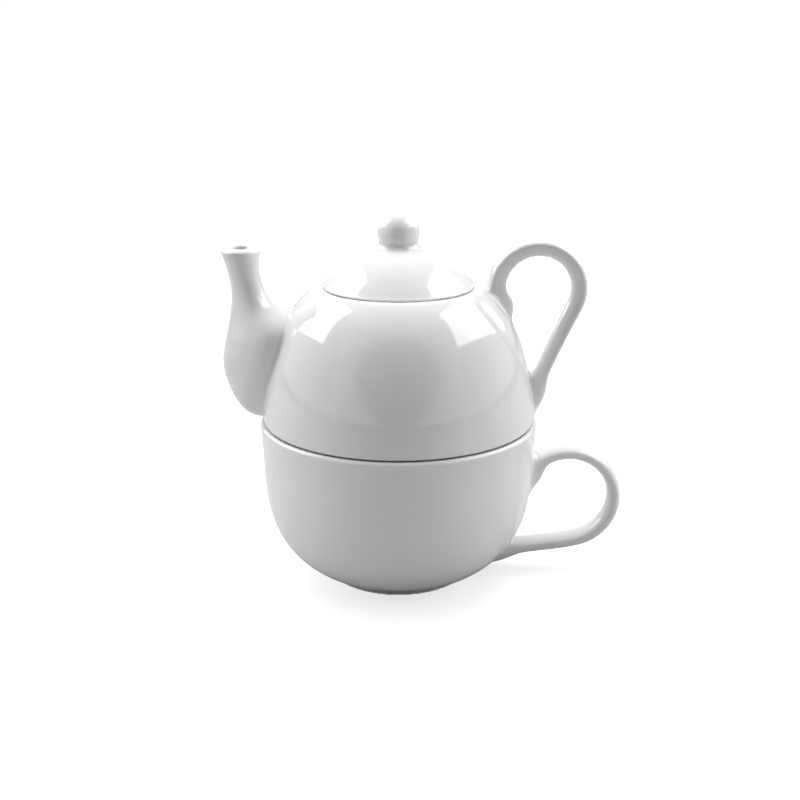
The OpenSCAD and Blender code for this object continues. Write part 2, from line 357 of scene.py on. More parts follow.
@dataclass(frozen=True)
class LoopHandle:
    """A strap that leaves the wall in a round loop and runs back down to it."""

    top: Pair
    sink: Pair
    loop: float
    start: float
    leave: float
    foot: Pair
    foot_way: Pair
    reach_out: float
    reach_in: float
    thickness: float
    width: float
    taper: float
    top_root: Root
    foot_root: Root
    fullness: float = 2.5
    egg: float = 0.0
    steps: int = 44

    def path(self) -> Array:
        """Middle line of the strap, from inside the wall at the top to inside it at the foot.

        Returns:
            Points as rows of x and z.
        """
        start, leave = math.radians(self.start), math.radians(self.leave)
        top = np.array(self.top)
        centre = top - self.loop * np.array([math.cos(start), math.sin(start)])
        turns = np.linspace(start, leave, 40)
        round_part = centre + self.loop * np.stack([np.cos(turns), np.sin(turns)], axis=1)
        corner = [
            round_part[-1],
            round_part[-1] + self.reach_out * np.array([math.sin(leave), -math.cos(leave)]),
            np.array(self.foot) - self.reach_in * np.array(self.foot_way),
            np.array(self.foot),
        ]
        t = np.linspace(0.0, 1.0, 24)[1:, None]
        down = sum(math.comb(3, k) * (1 - t) ** (3 - k) * t**k * spot for k, spot in enumerate(corner))
        return np.concatenate([[top + np.array(self.sink)], round_part, down])

    def limb(self) -> Limb:
        """The strap as oval sections at even steps along the middle line.

        Returns:
            The strap's distance field.
        """
        path = self.path()
        lengths = np.concatenate([[0.0], np.cumsum(np.linalg.norm(np.diff(path, axis=0), axis=1))])
        total = lengths[-1]
        sections = []
        for s in np.linspace(0.0, total, self.steps):
            runs = np.clip([s, s - 0.6, s + 0.6], 0.0, total)
            here, before, after = np.stack([np.interp(runs, lengths, path[:, i]) for i in range(2)], axis=1)
            way = (after - before) / np.linalg.norm(after - before)
            near_top = math.exp(-((s / self.top_root.reach) ** 2))
            near_foot = math.exp(-(((total - s) / self.foot_root.reach) ** 2))
            free = 1.0 - near_top - near_foot
            # Each row holds an axis, a half thickness and a half width
            strap = self.thickness / 2 * (1.0 - self.taper * (s / total) ** 1.5)
            own = np.array([-way[1], way[0], strap, self.width / 2])
            mixed = free * own + near_top * self.top_root.row() + near_foot * self.foot_root.row()
            sections.append(Section(here, mixed[:2], *mixed[2:], self.egg * free))
        return Limb(sections, self.fullness)


@dataclass
class Skin:
    """A closed mesh of four-sided faces drawn over a distance field."""

    points: Array
    faces: Array
    normals: Array


@dataclass(frozen=True)
class Skinner:
    """Draws an even skin over a distance field, then relaxes it and settles it onto the surface."""

    cell: float
    rounds: int = 4
    probe: float = 0.02
    least_slope: float = 0.2
    steady: float = 0.92

    def slope(self, distance: DistanceField, points: Array) -> tuple[Array, Array]:
        """Distances at the points, and the field's slopes there as rows.

        Args:
            distance: The field.
            points: Points as rows of x, y and z.

        Returns:
            Distances, and slopes as rows.
        """
        corners = np.array([(1, 1, 1), (1, -1, -1), (-1, 1, -1), (-1, -1, 1)], float)
        values = [distance(points + self.probe * corner) for corner in corners]
        rise = sum(v[:, None] * corner for v, corner in zip(values, corners)) / (4 * self.probe)
        return sum(values) / 4.0, rise

    def settle(self, distance: DistanceField, points: Array, steps: int) -> Array:
        """Moves the points onto the surface.

        Args:
            distance: The field.
            points: Points as rows of x, y and z.
            steps: How many moves to make.

        Returns:
            The moved points.
        """
        for _ in range(steps):
            value, rise = self.slope(distance, points)
            pull = value / np.maximum(np.sum(rise * rise, axis=1), self.least_slope)
            points = points - np.clip(pull, -self.cell, self.cell)[:, None] * rise
        return points

    def draw(self, distance: DistanceField, low: Array, high: Array) -> Skin:
        """Draws the skin of a form that lies between the corners low and high, in millimetres.

        Args:
            distance: The field.
            low: Lowest corner of the space to search.
            high: Highest corner.

        Returns:
            The finished skin.
        """
        axes = [np.arange(low[i] - self.cell, high[i] + 2 * self.cell, self.cell) for i in range(3)]
        shape = tuple(len(a) for a in axes)
        values = np.empty(shape)
        for i, x in enumerate(axes[0]):
            y, z = np.meshgrid(axes[1], axes[2], indexing="ij")
            sheet = np.stack([np.full(y.size, x), y.ravel(), z.ravel()], axis=1)
            values[i] = distance(sheet).reshape(y.shape)
        inside = values < 0
        cells = tuple(n - 1 for n in shape)

        def corner_of(grid: Array, offset: Sequence[int]) -> Array:
            """Values at one corner of every cell."""
            return grid[tuple(slice(o, o + n) for o, n in zip(offset, cells))]

        offsets = [(a, b, c) for a in (0, 1) for b in (0, 1) for c in (0, 1)]
        filled = sum(corner_of(inside, o).astype(np.int8) for o in offsets)
        active = (filled > 0) & (filled < 8)
        where = np.argwhere(active)
        numbers = np.full(cells, -1)
        numbers[active] = np.arange(len(where))
        total = np.zeros((len(where), 3))
        hits = np.zeros(len(where))
        for axis in range(3):
            for offset in [o for o in offsets if o[axis] == 0]:
                ahead = tuple(o + (i == axis) for i, o in enumerate(offset))
                v0, v1 = corner_of(values, offset)[active], corner_of(values, ahead)[active]
                cut = (v0 < 0) != (v1 < 0)
                spot = where[cut] + np.array(offset, float)
                spot[:, axis] += v0[cut] / (v0[cut] - v1[cut])
                total[cut] += spot
                hits[cut] += 1
        origin = np.array([a[0] for a in axes])
        points = origin + self.cell * total / hits[:, None]
        faces = np.concatenate([self._faces(inside, numbers, axis) for axis in range(3)])
        for _ in range(self.rounds):
            points = self.settle(distance, self._relax(points, faces), 1)
        points = self.settle(distance, points, 2)
        return Skin(points, faces, self._normals(distance, points, faces))

    def _normals(self, distance: DistanceField, points: Array, faces: Array) -> Array:
        """The field's directions, or those of the faces where the field has a small step.

        Args:
            distance: The field.
            points: Points as rows of x, y and z.
            faces: Four point numbers for each face.

        Returns:
            Unit rows, one for each point.
        """
        rise = unit(self.slope(distance, points)[1])
        flat = np.cross(points[faces[:, 2]] - points[faces[:, 0]], points[faces[:, 3]] - points[faces[:, 1]])
        around = unit(gather(faces.T.ravel(), np.tile(flat, (4, 1)), len(points)))
        stepped = np.sum(around * rise, axis=1) < self.steady
        return np.where(stepped[:, None], around, rise)

    @staticmethod
    def _faces(inside: Array, numbers: Array, axis: int) -> Array:
        """Faces that cross the grid lines of one axis, turned outwards.

        Args:
            inside: Whether each point of the grid lies inside the form.
            numbers: Number of the skin's point in each cell of the grid.
            axis: The axis, as 0, 1 or 2.

        Returns:
            Four point numbers for each face.
        """
        second, third = (axis + 1) % 3, (axis + 2) % 3
        start = [slice(None)] * 3
        ahead = [slice(None)] * 3
        start[axis], ahead[axis] = slice(0, -1), slice(1, None)
        for other in (second, third):
            start[other] = ahead[other] = slice(1, -1)
        leaving = inside[tuple(start)] & ~inside[tuple(ahead)]
        entering = ~inside[tuple(start)] & inside[tuple(ahead)]
        result = []
        for crossing, order in ((leaving, (0, 1, 2, 3)), (entering, (3, 2, 1, 0))):
            spot = np.argwhere(crossing)
            around = []
            for db, dc in ((0, 0), (1, 0), (1, 1), (0, 1)):
                index = spot.copy()
                index[:, second] += db
                index[:, third] += dc
                around.append(numbers[tuple(index.T)])
            result.append(np.stack([around[i] for i in order], axis=1))
        return np.concatenate(result)

    @staticmethod
    def _relax(points: Array, faces: Array) -> Array:
        """Moves every point halfway to the middle of its neighbours.

        Args:
            points: Points as rows of x, y and z.
            faces: Four point numbers for each face.

        Returns:
            The moved points.
        """
        a = np.concatenate([faces[:, i] for i in range(4)] * 2)
        b = np.concatenate([faces[:, (i + 1) % 4] for i in range(4)] + [faces[:, i - 1] for i in range(4)])
        count = np.bincount(a, minlength=len(points))
        return (points + gather(a, points[b], len(points)) / count[:, None]) / 2


def linear(colour: str) -> Rgba:
    """Linear RGBA of an sRGB colour written as #RRGGBB.

    Args:
        colour: The sRGB colour.

    Returns:
        Linear red, green, blue and alpha.
    """
    parts = [int(colour[i : i + 2], 16) / 255 for i in (1, 3, 5)]
    lit = [c / 12.92 if c <= 0.04045 else ((c + 0.055) / 1.055) ** 2.4 for c in parts]
    return (*lit, 1.0)


def add_node(
    tree: bpy.types.NodeTree, kind: str, values: dict[str | int, object] | None = None, **settings: object
) -> bpy.types.NodeOutputs:
    """Adds one node to a tree.

    Args:
        tree: The node tree.
        kind: The node's type name.
        values: For each input, by name or number, its value or the socket that feeds it.
        **settings: Values of the node's own properties.

    Returns:
        The new node's outputs.
    """
    node = tree.nodes.new(kind)
    for name, value in settings.items():
        setattr(node, name, value)
    for name, value in (values or {}).items():
        if isinstance(value, bpy.types.NodeSocket):
            tree.links.new(value, node.inputs[name])
        else:
            node.inputs[name].default_value = value
    return node.outputs


def add_object(name: str, data: bpy.types.ID | None) -> bpy.types.Object:
    """Adds an object with the given data to the scene.

    Args:
        name: The object's name.
        data: Its mesh, lamp or camera.

    Returns:
        The new object.
    """
    made = bpy.data.objects.new(name, data)
    bpy.context.scene.collection.objects.link(made)
    return made


def blank_material(name: str) -> tuple[bpy.types.Material, bpy.types.NodeTree]:
    """A new material and its empty node tree.

    Args:
        name: The material's name.

    Returns:
        The material and its tree.
    """
    material = bpy.data.materials.new(name)
    material.use_nodes = True
    material.node_tree.nodes.clear()
    return material, material.node_tree


@dataclass(frozen=True)
class Noise:
    """A cloudy pattern: the size of its spots in millimetres, and how they break up."""

    size: float
    detail: float
    roughness: float = 0.5

    def values(self, place: bpy.types.NodeSocket) -> dict[str, object]:
        """What a noise node is given, with place as its coordinates."""
        scale = 1.0 / (self.size * MM)
        return {"Vector": place, "Scale": scale, "Detail": self.detail, "Roughness": self.roughness}


@dataclass(frozen=True)
class Porcelain:
    """The look of porcelain: two shades that drift into each other, under a faint relief."""

    name: str
    shades: tuple[str, str]
    drift: Noise
    relief: Noise
    relief_depth: float
    relief_strength: float
    roughness: float
    ior: float = 1.5

    def material(self) -> bpy.types.Material:
        """Builds the node material.

        Returns:
            The material.
        """
        material, tree = blank_material(self.name)
        place = add_node(tree, "ShaderNodeTexCoord")["Object"]
        first, second = (linear(shade) for shade in self.shades)
        noises = (self.drift, self.relief)
        drift, height = (add_node(tree, "ShaderNodeTexNoise", noise.values(place))["Fac"] for noise in noises)
        tint = add_node(tree, "ShaderNodeMix", {0: drift, 6: first, 7: second}, data_type="RGBA")
        relief = {
            "Height": height,
            "Strength": self.relief_strength,
            "Distance": self.relief_depth * MM,
        }
        bump = add_node(tree, "ShaderNodeBump", relief)
        surface = {
            "Base Color": tint[2],
            "Roughness": self.roughness,
            "IOR": self.ior,
            "Normal": bump["Normal"],
        }
        shader = add_node(tree, "ShaderNodeBsdfPrincipled", surface)
        add_node(tree, "ShaderNodeOutputMaterial", {"Surface": shader["BSDF"]})
        return material


class Finish(Enum):
    """The finishes that a piece can have."""

    # White body under a clear fired glaze. Glaze flows a little while it melts, which leaves broad,
    # very shallow waves, and where it lies thicker it looks a shade denser, over a few centimetres
    GLAZED = Porcelain(
        "glazed_porcelain",
        ("#F1F1F1", "#EBECEC"),
        drift=Noise(34.0, 2.0),
        relief=Noise(9.0, 1.0, 0.4),
        relief_depth=0.004,
        relief_strength=1.0,
        roughness=0.06,
        ior=1.52,
    )
    # Wiped clean where it stands in the kiln: matt, dry and fine-grained. The grit of fired clay is
    # about 0.1 mm, and is drawn at 0.6 mm so that it shows
    BARE = Porcelain(
        "unglazed_foot",
        ("#E6E2DA", "#D6D0C5"),
        drift=Noise(0.6, 3.0),
        relief=Noise(0.6, 3.0),
        relief_depth=0.05,
        relief_strength=0.4,
        roughness=0.85,
    )


@cache
def material_of(finish: Finish) -> bpy.types.Material:
    """The material of a finish, built when it is first asked for."""
    return finish.value.material()


def frame_box(node: str) -> tuple[Array, Array]:
    """Lowest and highest corner of a CAD node, in millimetres."""
    low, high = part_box(node)
    return np.array(low) / MM, np.array(high) / MM


def skin_object(
    node: str, distance: DistanceField, cell: float, bare_below: float | None = None
) -> bpy.types.Object:
    """Draws a form's skin as a Blender object.

    Args:
        node: The CAD node that the form stands for, which bounds it.
        distance: The form's distance field, in millimetres.
        cell: Spacing of the skin's points.
        bare_below: Height under which faces are unglazed, in millimetres.

    Returns:
        The object, smooth-shaded with the field's own normals.
    """
    skin = Skinner(cell).draw(distance, *frame_box(node))
    mesh = bpy.data.meshes.new(f"porcelain_{node}")
    mesh.vertices.add(len(skin.points))
    mesh.vertices.foreach_set("co", (skin.points * MM).astype(np.float32).ravel())
    mesh.loops.add(skin.faces.size)
    mesh.loops.foreach_set("vertex_index", skin.faces.astype(np.int32).ravel())
    mesh.polygons.add(len(skin.faces))
    mesh.polygons.foreach_set("loop_start", np.arange(0, skin.faces.size, 4, dtype=np.int32))
    mesh.polygons.foreach_set("use_smooth", np.ones(len(skin.faces), bool))
    mesh.materials.append(material_of(Finish.GLAZED))
    if bare_below is not None:
        mesh.materials.append(material_of(Finish.BARE))
        heights = skin.points[skin.faces, 2].mean(axis=1)
        mesh.polygons.foreach_set("material_index", (heights < bare_below).astype(np.int32))
    mesh.update(calc_edges=True)
    mesh.validate()
    mesh.normals_split_custom_set_from_vertices(skin.normals.astype(np.float32))
    return add_object(mesh.name, mesh)


@dataclass
class Cup:
    """The cup: a deep bowl with a turned-out lip, a foot ring and a loop handle."""

    height: float
    cell: float
    radius: float = 55.4
    wall: float = 3.4
    lip_flare: float = 1.0
    lip_reach: float = 8.0
    floor: float = 5.8
    under: float = 3.7
    foot_radius: float = 28.8
    foot_width: float = 3.4
    foot_height: float = 1.6
    fillet: float = 4.0
    bare_below: float = 0.25
    handle: Limb = field(init=False)

    def __post_init__(self) -> None:
        """Works out the walls and the handle."""
        self.outer = RoundWall(self.radius, full=self.height + self.under, turn=4.0, shoulder=2.0)
        self.inner = RoundWall(self.radius - self.wall, full=self.height - self.floor, turn=4.6, shoulder=2.6)
        drop, rise = 21.5, 7.2
        self.handle = LoopHandle(
            top=(self.wall_at(drop) + 0.4, self.height - drop),
            sink=(-1.4, -1.4),
            loop=19.4,
            start=139.0,
            leave=-77.0,
            foot=(self.wall_at(self.height - rise) + 1.0, rise),
            foot_way=(-0.94, -0.34),
            reach_out=14.0,
            reach_in=12.0,
            thickness=5.3,
            width=10.8,
            taper=0.0,
            top_root=Root((0.0, 1.0), 9.0, 6.6, 5.0),
            foot_root=Root((-0.69, -0.73), 7.2, 6.4, 7.0),
        ).limb()

    def lip_out(self, depth: Array | float) -> Array | float:
        """How far the lip has turned out at a depth below its top."""
        return self.lip_flare * np.exp(-np.maximum(depth, 0.0) / self.lip_reach)

    def wall_at(self, depth: float) -> float:
        """Outside radius at a depth below the lip."""
        return self.outer.radius_at(depth) + float(self.lip_out(depth))

    def distance(self, points: Array) -> Array:
        """Distances to the cup's skin.

        Args:
            points: Points as rows of x, y and z.

        Returns:
            Distances, negative inside.
        """
        r = np.hypot(points[:, 0], points[:, 1])
        z = points[:, 2]
        depth = self.height - z
        run = r - self.lip_out(depth)
        outside = self.outer.distance(run, depth)
        inside = self.inner.distance(run, depth)
        half = self.wall / 2
        # The wall is a sheet of even thickness that ends in a half-round lip
        sheet = np.maximum(np.maximum(outside, -inside) + half, 0.0)
        over = np.maximum(z - (self.height - half), 0.0)
        body = np.hypot(sheet, over) - half
        body = smooth_max(body, self.foot_height - z, 0.8)
        from_ring = np.abs(r - (self.foot_radius - self.foot_width / 2))
        ring = rounded_disc(from_ring, z, self.foot_width / 2, 0.0, 4.0, 0.7)
        body = smooth_min(body, ring, 1.2)
        strap = np.maximum(self.handle.distance(points), -(outside + SINK))
        return smooth_min(body, strap, self.fillet)

    def build(self) -> bpy.types.Object:
        """Builds and dresses the cup."""
        return skin_object("cup", self.distance, self.cell, self.bare_below)


@dataclass
class Teapot:
    """The teapot: a domed body with a nesting base, a hollow spout, a strainer and a strap handle."""

    rim: float
    mouth: float
    cell: float
    radius: float = 54.9
    wall: float = 3.6
    crown_over: float = 5.0
    turn: float = 1.68
    shoulder: float = 3.83
    gap: float = 0.3
    nest_radius: float = 51.5
    nest_depth: float = 8.0
    recess_width: float = 6.0
    recess_depth: float = 1.2
    throat: float = 28.2
    seat_radius: float = 31.4
    seat_sink: float = 0.7
    seat_thickness: float = 3.6
    spout_height: float = 68.5
    spout_egg: float = 0.5
    spout_wall: float = 2.65
    spout_bore: float = 7.6
    hole_out: float = 7.4
    lip_crown: float = 1.9
    lip_round: float = 1.0
    lip_width: float = 4.0
    strainer_bore: float = 3.6
    strainer_pitch: float = 5.4
    strainer_height: float = 0.33
    root_clear: float = 3.4
    fillet: float = 3.4
    spout_fillet: float = 2.8

    def __post_init__(self) -> None:
        """Works out the dome, the spout and the handle."""
        full = self.mouth - self.rim + self.crown_over
        self.outer = RoundWall(self.radius, full, self.turn, self.shoulder)
        self.inner = RoundWall(self.radius - self.wall, full - self.wall, self.turn, self.shoulder)
        top_rise, foot_rise = 49.6, 9.4
        self.handle = LoopHandle(
            top=(self.outer.radius_at(top_rise) + 0.26, self.rim + top_rise),
            sink=(-1.7, -1.5),
            loop=16.4,
            start=195.0,
            leave=-25.5,
            foot=(self.outer.radius_at(foot_rise) - 0.15, self.rim + foot_rise),
            foot_way=(-0.36, -0.93),
            reach_out=20.0,
            reach_in=12.0,
            thickness=7.1,
            width=9.2,
            taper=0.28,
            top_root=Root((-0.65, 0.76), 9.6, 6.2, 4.2),
            foot_root=Root((0.08, -1.0), 8.7, 4.2, 6.2),
            fullness=2.8,
            egg=-0.25,
        ).limb()
        self.spout = self._spout()
        self.lip = self.rim + self.spout_height

    def _spout(self) -> Limb:
        """The spout as sections between its long front curve and its short back curve.

        Returns:
            The spout's distance field.
        """
        # Points are [distance out from the dome's widest place, share of the spout's height]
        front = [(-4, 0.008), (8, 0.052), (15.5, 0.28), (14.9, 0.47), (12, 0.68), (12.3, 0.85), (15.2, 1)]
        back = [(-16.5, 0.655), (-11.2, 0.668), (-5.4, 0.7), (-2, 0.76), (-0.1, 0.85), (0.3, 0.92), (-0.4, 1)]
        girth = Spline([9.0, 15.0, 12.6, 8.8, 6.6, 6.7, 7.8])
        rails = [
            Spline([(-(self.radius + out), self.rim + self.spout_height * share) for out, share in rail])
            for rail in (front, back)
        ]
        steps = np.linspace(0.0, 1.0, 40)
        sections = []
        for u, a, b, wide in zip(steps, rails[0].at(steps), rails[1].at(steps), girth.at(steps)[:, 0]):
            # The spout is egg-shaped where it leaves the wall, and oval at its tip
            egg = self.spout_egg * (1.0 - u**2)
            sections.append(Section((a + b) / 2, a - b, float(np.linalg.norm(a - b)) / 2, float(wide), egg))
        # Two more sections carry the flare on past the lip, where it is cut and rounded off
        for _ in range(2):
            last, before = sections[-1], sections[-2]
            sections.append(
                Section(
                    2 * last.middle - before.middle,
                    last.axis,
                    2 * last.half - before.half,
                    2 * last.width - before.width,
                )
            )
        return Limb(sections)

    def hollow(self, points: Array, r: Array) -> Array:
        """Distances to the space inside the body, down to the nesting base and up through the mouth.

        Args:
            points: Points as rows of x, y and z.
            r: Distances of the points from the axis.

        Returns:
            Distances, negative inside.
        """
        z = points[:, 2]
        neck = self.mouth - self.seat_sink - self.seat_thickness
        floor = self.rim - self.nest_depth + self.recess_depth + self.wall
        dome = self.inner.distance(r, z - self.rim)
        dome = smooth_max(dome, self.rim + 3.0 - z, 4.0)
        dome = smooth_max(dome, z - neck, 1.0)
        well = rounded_disc(r, z, self.nest_radius - self.wall, floor, floor + 20.0, 5.0)
        throat = rounded_disc(r, z, self.throat, neck - 6.0, self.mouth + 9.0, 0.2)
        seat = rounded_disc(r, z, self.seat_radius, self.mouth - self.seat_sink, self.mouth + 9.0, 0.2)
        return np.minimum(smooth_min(smooth_min(dome, well, 3.0), throat, 1.0), seat)

    def distance(self, points: Array) -> Array:
        """Distances to the teapot's skin.

        Args:
            points: Points as rows of x, y and z.

        Returns:
            Distances, negative inside.
        """
        r = np.hypot(points[:, 0], points[:, 1])
        z = points[:, 2]
        dome = self.outer.distance(r, z - self.rim)
        body = smooth_max(dome, self.rim + self.gap - z, 2.0)
        body = smooth_max(body, z - self.mouth, 1.6)
        nest_low = self.rim - self.nest_depth
        nest = rounded_disc(r, z, self.nest_radius, nest_low, self.rim + 4.0, 1.6)
        body = np.minimum(body, nest)
        recess_top = nest_low + self.recess_depth
        recess = rounded_disc(r, z, self.nest_radius - self.recess_width, nest_low - 5.0, recess_top, 0.8)
        body = smooth_max(body, -recess, 0.8)
        spout = self.spout.distance(points)
        channel = self._channel(points, spout, dome)
        spout = smooth_max(spout, self._crown(points), self.lip_round)
        strap = np.maximum(self.handle.distance(points), -(dome + SINK))
        # The handle's root runs out just outside the mouth's rounded rim
        strap = smooth_max(strap, self.seat_radius + self.root_clear - r, 2.4)
        solid = smooth_min(body, np.maximum(spout, -(dome + SINK)), self.spout_fillet)
        solid = smooth_min(solid, strap, self.fillet)
        solid = smooth_max(solid, -channel, 1.4)
        solid = smooth_max(solid, -self.hollow(points, r), 0.7)
        return smooth_max(solid, -self._strainer(points, dome), 0.6)

    def _crown(self, points: Array) -> Array:
        """Distances to the pouring lip's top, which rises in a quarter round to the hole.

        Args:
            points: Points as rows of x, y and z.

        Returns:
            Distances, negative under the lip's top.
        """
        ring = np.hypot(points[:, 0] + self.radius + self.hole_out, points[:, 1])
        up = points[:, 2] - self.lip
        wide = self.lip_width + np.maximum(-up, 0.0)
        out = np.maximum(ring - self.spout_bore / 2, 0.0) / wide
        rise = np.maximum(up, 0.0) / self.lip_crown
        size = np.maximum(np.hypot(out, rise), 1e-6)
        return (size - 1.0) / np.maximum(np.hypot(out / size / wide, rise / size / self.lip_crown), 0.1)

    def _channel(self, points: Array, spout: Array, dome: Array) -> Array:
        """Distances to the spout's channel and its round pouring hole.

        Args:
            points: Points as rows of x, y and z.
            spout: Distances to the spout's skin.
            dome: Distances to the dome's skin.

        Returns:
            Distances, negative inside.
        """
        dx, z = points[:, 0] + self.radius + self.hole_out, points[:, 2]
        from_hole = np.hypot(dx, points[:, 1])
        hole = rounded_disc(from_hole, z, self.spout_bore / 2, self.lip - 7.0, self.lip + 9.0, 1.0)
        # The channel stops under the lip, and the pouring hole goes on up through it
        channel = smooth_max(spout + self.spout_wall, z - (self.lip - 1.2), 2.0)
        inside = smooth_min(channel, hole, 2.0)
        return smooth_max(inside, -dome, 0.8)

    def _strainer(self, points: Array, dome: Array) -> Array:
        """Distances to the seven holes in the wall behind the spout.

        Args:
            points: Points as rows of x, y and z.
            dome: Distances to the dome's skin.

        Returns:
            Distances, negative inside.
        """
        middle = self.rim + self.strainer_height * self.spout_height
        places = [(0.0, 0.0)] + arc((0.0, 0.0), self.strainer_pitch, np.radians(30.0 + 60.0 * np.arange(6)))
        result = np.full(len(points), FAR)
        beside = np.maximum(np.abs(points[:, 1]), np.abs(points[:, 2] - middle))
        close = (points[:, 0] < -0.6 * self.radius) & (beside < FAR)
        near = points[close]
        if len(near):
            holes = [np.hypot(near[:, 1] - y, near[:, 2] - middle - z) for y, z in places]
            result[close] = np.min(holes, axis=0) - self.strainer_bore / 2
        return np.maximum(result, dome - 1.0)

    def build(self) -> bpy.types.Object:
        """Builds and dresses the teapot."""
        return skin_object("teapot", self.distance, self.cell)


@dataclass
class Lid:
    """The lid: a domed cover turned in one piece with its ball knob and its locating flange."""

    low: float
    radius: float
    top: float
    rise: float = 16.0
    wall: float = 3.4
    edge: float = 0.5
    turn: float = 2.25
    flange_radius: float = 27.3
    flange_depth: float = 7.0
    knob_radius: float = 8.3
    knob_fillet: float = 2.6
    vent: float = 2.4
    around: int = 288
    merge: float = 0.002
    sharp_from: float = 40.0

    def dome(self, r: float) -> float:
        """Height of the dome's skin at a distance from the axis."""
        base = self.low + self.flange_depth + self.edge
        return float(base + self.rise * (1.0 - (r / self.radius) ** self.turn))

    def profile(self) -> Outline:
        """Outline of half the lid's section, from the axis inside, round the edge, to the knob's top.

        Returns:
            Points as radius and height, in millimetres.
        """
        seat = self.low + self.flange_depth
        inner = self.flange_radius - self.wall
        under = [(r, self.dome(r) - self.wall) for r in np.linspace(0.0, inner - 1.5, 24)]
        low, outer = self.low, self.flange_radius
        flange = [
            (inner - 0.4, self.dome(inner) - self.wall - 1.0),
            (inner, self.dome(inner) - self.wall - 2.4),
            (inner, low + 0.6),
            (inner + 0.2, low + 0.2),
            (inner + 0.7, low),
            (outer - 0.7, low),
            (outer - 0.2, low + 0.2),
            (outer, low + 0.7),
            (outer, seat - 0.3),
            (outer + 0.3, seat),
        ]
        edge_middle = (self.radius - self.edge, seat + self.edge)
        edge = arc(edge_middle, self.edge, np.radians(np.linspace(-90.0, 60.0, 12)))
        return under + flange + edge + self._top_outline(edge[-1][0])

    def _top_outline(self, start: float) -> Outline:
        """The dome from its edge up to the knob, the fillet between them and the ball.

        Args:
            start: Radius at which the rounded edge ends.

        Returns:
            Points as radius and height, in millimetres.
        """
        ball = (0.0, self.top - self.knob_radius)
        r0, reach = self.knob_radius, self.knob_fillet

        def roll(r: float) -> Pair:
            """Middle of the fillet circle that touches the dome at r.

            Args:
                r: Radius at which they touch.

            Returns:
                The middle's radius and height.
            """
            slope = -self.rise * self.turn / self.radius * (r / self.radius) ** (self.turn - 1)
            size = math.hypot(1.0, slope)
            return r - reach * slope / size, self.dome(r) + reach / size

        low, high = 2.0, start
        for _ in range(40):
            middle = (low + high) / 2
            short = math.dist(roll(middle), ball) < r0 + reach
            low, high = (middle, high) if short else (low, middle)
        foot = (low + high) / 2
        centre = roll(foot)
        a0 = math.atan2(self.dome(foot) - centre[1], foot - centre[0])
        a1 = math.atan2(ball[1] - centre[1], ball[0] - centre[0])
        a1 += 2 * math.pi * round((a0 - a1) / (2 * math.pi))
        fillet = arc(centre, reach, np.linspace(a0, a1, 14))
        b0 = math.atan2(centre[1] - ball[1], centre[0] - ball[0])
        knob = arc(ball, r0, np.linspace(b0, math.pi / 2, 48)[1:])
        knob[-1] = (0.0, self.top)
        dome = [(r, self.dome(r)) for r in np.linspace(start, foot, 56)[1:-1]]
        return dome + fillet + knob

    def _lathe(self) -> bpy.types.NodeTree:
        """Geometry Nodes tree that turns a profile into a solid and pierces its steam vent.

        Returns:
            The node tree, whose inputs are named in sockets.
        """
        tree = bpy.data.node_groups.new("lid_lathe", "GeometryNodeTree")
        sockets = {
            "Profile": "Geometry",
            "Steps around": "Int",
            "Profile points": "Int",
            "Vent diameter": "Float",
            "Vent place": "Vector",
            "Glaze": "Material",
        }
        for name, kind in sockets.items():
            tree.interface.new_socket(name=name, in_out="INPUT", socket_type=f"NodeSocket{kind}")
        tree.interface.new_socket(name="Lid", in_out="OUTPUT", socket_type="NodeSocketGeometry")
        add = partial(add_node, tree)
        given = add("NodeGroupInput")
        steps, rows = given["Steps around"], given["Profile points"]
        # A sheet of points, one column for each step around and one row for each point of the profile
        columns = add("ShaderNodeMath", {0: steps, 1: 1.0}, operation="ADD")[0]
        sheet = add("GeometryNodeMeshGrid", {"Vertices X": columns, "Vertices Y": rows})[0]
        index = add("GeometryNodeInputIndex")[0]
        centred = add("ShaderNodeMath", {0: index, 1: 0.5}, operation="ADD")[0]
        columns_run = add("ShaderNodeMath", {0: centred, 1: rows}, operation="DIVIDE")[0]
        column = add("ShaderNodeMath", {0: columns_run}, operation="FLOOR")[0]
        before = add("ShaderNodeMath", {0: column, 1: rows}, operation="MULTIPLY")[0]
        row = add("ShaderNodeMath", {0: index, 1: before}, operation="SUBTRACT")[0]
        # Each column is the profile, turned about the axis and closed on itself
        share = add("ShaderNodeMath", {0: column, 1: steps}, operation="DIVIDE")[0]
        turn = add("ShaderNodeMath", {0: share, 1: 2 * math.pi}, operation="MULTIPLY")[0]
        source = {"Geometry": given["Profile"], "Value": add("GeometryNodeInputPosition")[0], "Index": row}
        point = add("GeometryNodeSampleIndex", source, data_type="FLOAT_VECTOR", domain="POINT")[0]
        turned = add("ShaderNodeVectorRotate", {"Vector": point, "Angle": turn}, rotation_type="Z_AXIS")[0]
        shaped = add("GeometryNodeSetPosition", {"Geometry": sheet, "Position": turned})[0]
        closed = add("GeometryNodeMergeByDistance", {"Geometry": shaped, "Distance": self.merge * MM})[0]
        # The steam vent
        radius = add("ShaderNodeMath", {0: given["Vent diameter"], 1: 0.5}, operation="MULTIPLY")[0]
        bore = {"Vertices": 32, "Radius": radius, "Depth": 4 * self.wall * MM}
        drill = add("GeometryNodeMeshCylinder", bore)[0]
        placed = add("GeometryNodeTransform", {"Geometry": drill, "Translation": given["Vent place"]})[0]
        solids = {"Mesh 1": closed, "Mesh 2": placed}
        pierced = add("GeometryNodeMeshBoolean", solids, operation="DIFFERENCE", solver="EXACT")[0]
        real = add("GeometryNodeRealizeInstances", {"Geometry": pierced})[0]
        dressed = add("GeometryNodeSetMaterial", {"Geometry": real, "Material": given["Glaze"]})[0]
        add("NodeGroupOutput", {"Lid": dressed})
        return tree

